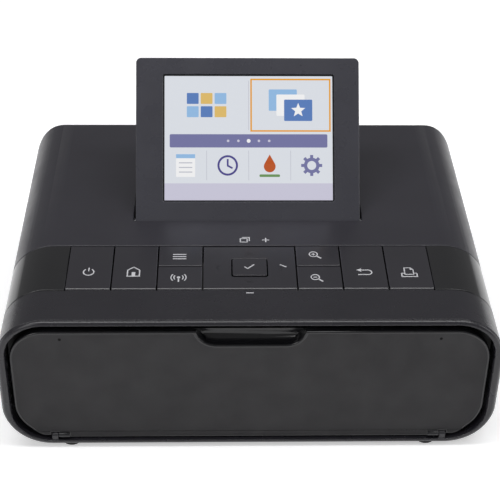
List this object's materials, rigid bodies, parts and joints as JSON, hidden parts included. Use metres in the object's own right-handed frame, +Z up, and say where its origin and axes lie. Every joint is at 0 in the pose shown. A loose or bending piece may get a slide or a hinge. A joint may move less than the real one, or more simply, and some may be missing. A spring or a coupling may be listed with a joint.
{
  "type": "compact photo printer",
  "caption": "Compact photo printer with a tilting display, a row of keys across its top, a hinged front door over the paper mouth and an ink door in its side.",
  "frame": {"origin": "on the table under the middle of the case, in line with the bottom of the feet", "axes": "+X to the right seen from the front, +Y towards the rear, +Z up; the front door faces -Y"},
  "size_m": [0.1806, 0.1359, 0.1102],
  "materials": {
    "case_charcoal": "fine matte texture",
    "cover_charcoal": "satin",
    "gloss_black": "polished",
    "door_charcoal": "matte face, gloss edge",
    "display_charcoal": "satin",
    "display_glass": "polished",
    "inner_black": "moulded",
    "foot_rubber": "matte",
    "sheet_steel": "rolled",
    "shaft_steel": "turned",
    "pinion_brass": "cut",
    "head_aluminium": "extruded",
    "gear_acetal": "moulded",
    "cassette_grey": "moulded",
    "ribbon_film": "film",
    "board_green": "lacquered",
    "switch_metal": "stamped"
  },
  "bodies": {
    "base": {"front_frame": "case_charcoal", "control_band": "gloss_black", "top_cover": "cover_charcoal", "lower_case": "case_charcoal", "rear_cover": "case_charcoal", "rubber_feet": "foot_rubber", "mouth_frame": "inner_black", "cassette_guide": "inner_black", "left_side_plate": "sheet_steel", "right_side_plate": "sheet_steel", "frame_stays": "sheet_steel", "paper_guide": "inner_black", "feed_motor": "shaft_steel", "ribbon_motor": "shaft_steel", "motor_bracket": "sheet_steel", "main_board": "board_green", "board_parts": "inner_black", "key_board": "board_green", "key_switches": "switch_metal", "card_socket": "sheet_steel", "usb_host_socket": "sheet_steel", "dc_inlet": "inner_black", "battery_terminal": "inner_black", "roller_bushes": "gear_acetal", "ink_case": "cassette_grey", "ink_ribbon": "ribbon_film", "case_screws": "shaft_steel"},
    "display": {"lcd_rear_shell": "display_charcoal", "lcd_bezel": "display_charcoal", "lcd_module": "display_glass"},
    "front_door": {"front_door": "door_charcoal"},
    "ink_door": {"ink_door": "case_charcoal"},
    "nav_pivot": {"nav_pivot": "gear_acetal"},
    "nav_pad": {"nav_pad": "gloss_black"},
    "pickup": {"pickup_shaft": "shaft_steel", "pickup_rollers": "foot_rubber"},
    "feed": {"feed_roller": "shaft_steel", "feed_gear": "gear_acetal"},
    "motor": {"motor_pinion": "pinion_brass"},
    "pinch": {"pinch_roller": "shaft_steel"},
    "platen": {"platen_roller": "foot_rubber"},
    "head": {"thermal_head": "head_aluminium", "head_carrier": "sheet_steel"},
    "take_up": {"take_up_spool": "gear_acetal", "take_up_gear": "gear_acetal"},
    "ribbon_drive": {"ribbon_pinion": "pinion_brass"},
    "supply": {"supply_spool": "gear_acetal"},
    "ink_lock": {"ink_lock_lever": "gear_acetal"},
    "power_key": {"power_key": "gloss_black"},
    "home_key": {"home_key": "gloss_black"},
    "menu_key": {"menu_key": "gloss_black"},
    "wireless_key": {"wireless_key": "gloss_black"},
    "zoom_in_key": {"zoom_in_key": "gloss_black"},
    "zoom_out_key": {"zoom_out_key": "gloss_black"},
    "back_key": {"back_key": "gloss_black"},
    "print_key": {"print_key": "gloss_black"},
    "ok_key": {"ok_key": "gloss_black"}
  },
  "joints": [
    {"name": "display_tilt", "type": "hinge", "parent": "base", "child": "display", "pos_m": [0, -0.00409, 0.05857], "axis": [1, 0, 0], "range_deg": [-50.5, 0]},
    {"name": "front_door_hinge", "type": "hinge", "parent": "base", "child": "front_door", "pos_m": [0, -0.06645, 0.0049], "axis": [1, 0, 0], "range_deg": [0, 90]},
    {"name": "ink_door_hinge", "type": "hinge", "parent": "base", "child": "ink_door", "pos_m": [0.08905, 0.00625, 0.029], "axis": [0, 0, -1], "range_deg": [0, 90]},
    {"name": "power_key_press", "type": "slide", "parent": "base", "child": "power_key", "axis": [0, 0.0309, -0.9995], "range_m": [0, 0.00045], "stiffness_N_per_m": 1500, "springref_m": -0.0001},
    {"name": "home_key_press", "type": "slide", "parent": "base", "child": "home_key", "axis": [0, 0.0309, -0.9995], "range_m": [0, 0.00045], "stiffness_N_per_m": 1500, "springref_m": -0.0001},
    {"name": "menu_key_press", "type": "slide", "parent": "base", "child": "menu_key", "axis": [0, 0.0309, -0.9995], "range_m": [0, 0.00045], "stiffness_N_per_m": 1500, "springref_m": -0.0001},
    {"name": "wireless_key_press", "type": "slide", "parent": "base", "child": "wireless_key", "axis": [0, 0.0309, -0.9995], "range_m": [0, 0.00045], "stiffness_N_per_m": 1500, "springref_m": -0.0001},
    {"name": "zoom_in_key_press", "type": "slide", "parent": "base", "child": "zoom_in_key", "axis": [0, 0.0309, -0.9995], "range_m": [0, 0.00045], "stiffness_N_per_m": 1500, "springref_m": -0.0001},
    {"name": "zoom_out_key_press", "type": "slide", "parent": "base", "child": "zoom_out_key", "axis": [0, 0.0309, -0.9995], "range_m": [0, 0.00045], "stiffness_N_per_m": 1500, "springref_m": -0.0001},
    {"name": "back_key_press", "type": "slide", "parent": "base", "child": "back_key", "axis": [0, 0.0309, -0.9995], "range_m": [0, 0.00045], "stiffness_N_per_m": 1500, "springref_m": -0.0001},
    {"name": "print_key_press", "type": "slide", "parent": "base", "child": "print_key", "axis": [0, 0.0309, -0.9995], "range_m": [0, 0.00045], "stiffness_N_per_m": 1500, "springref_m": -0.0001},
    {"name": "ok_key_press", "type": "slide", "parent": "base", "child": "ok_key", "axis": [0, 0.0309, -0.9995], "range_m": [0, 0.00045], "stiffness_N_per_m": 1500, "springref_m": -0.0001},
    {"name": "nav_tilt_fore_aft", "type": "hinge", "parent": "base", "child": "nav_pivot", "pos_m": [0, -0.03614, 0.05438], "axis": [1, 0, 0], "range_deg": [-2, 2], "stiffness_Nm_per_rad": 0.05},
    {"name": "nav_tilt_sideways", "type": "hinge", "parent": "nav_pivot", "child": "nav_pad", "pos_m": [0, -0.03614, 0.05438], "axis": [0, 0.9995, 0.0309], "range_deg": [-2, 2], "stiffness_Nm_per_rad": 0.05},
    {"name": "feed_roller_spin", "type": "hinge", "parent": "base", "child": "feed", "pos_m": [0, 0.00205, 0.0275], "axis": [1, 0, 0], "continuous": true},
    {"name": "motor_spin", "type": "hinge", "parent": "base", "child": "motor", "pos_m": [0, 0.01401, 0.01554], "axis": [1, 0, 0], "continuous": true},
    {"name": "pickup_spin", "type": "hinge", "parent": "base", "child": "pickup", "pos_m": [0, -0.01643, 0.03315], "axis": [1, 0, 0], "continuous": true},
    {"name": "pinch_spin", "type": "hinge", "parent": "base", "child": "pinch", "pos_m": [0, 0.00205, 0.0353], "axis": [1, 0, 0], "continuous": true},
    {"name": "platen_spin", "type": "hinge", "parent": "base", "child": "platen", "pos_m": [0, 0.02605, 0.02615], "axis": [1, 0, 0], "continuous": true},
    {"name": "take_up_spin", "type": "hinge", "parent": "base", "child": "take_up", "pos_m": [0, 0.01255, 0.041], "axis": [1, 0, 0], "continuous": true},
    {"name": "ribbon_drive_spin", "type": "hinge", "parent": "base", "child": "ribbon_drive", "pos_m": [0, 0.02367, 0.02988], "axis": [1, 0, 0], "continuous": true},
    {"name": "supply_spin", "type": "hinge", "parent": "base", "child": "supply", "pos_m": [0, 0.04005, 0.041], "axis": [1, 0, 0], "continuous": true},
    {"name": "head_swing", "type": "hinge", "parent": "base", "child": "head", "pos_m": [0, 0.05605, 0.0445], "axis": [1, 0, 0], "range_deg": [0, 3.4]},
    {"name": "ink_lock_turn", "type": "hinge", "parent": "base", "child": "ink_lock", "pos_m": [0.085, 0.05255, 0.041], "axis": [-1, 0, 0], "range_deg": [0, 60]}
  ],
  "couplings": [
    {"joint": "motor_spin", "follows": "feed_roller_spin", "ratio": -3.6667},
    {"joint": "pickup_spin", "follows": "feed_roller_spin", "ratio": -2.2},
    {"joint": "pinch_spin", "follows": "feed_roller_spin", "ratio": -1.5},
    {"joint": "ribbon_drive_spin", "follows": "take_up_spin", "ratio": -3.3333},
    {"joint": "supply_spin", "follows": "take_up_spin", "ratio": 0.76923}
  ]
}
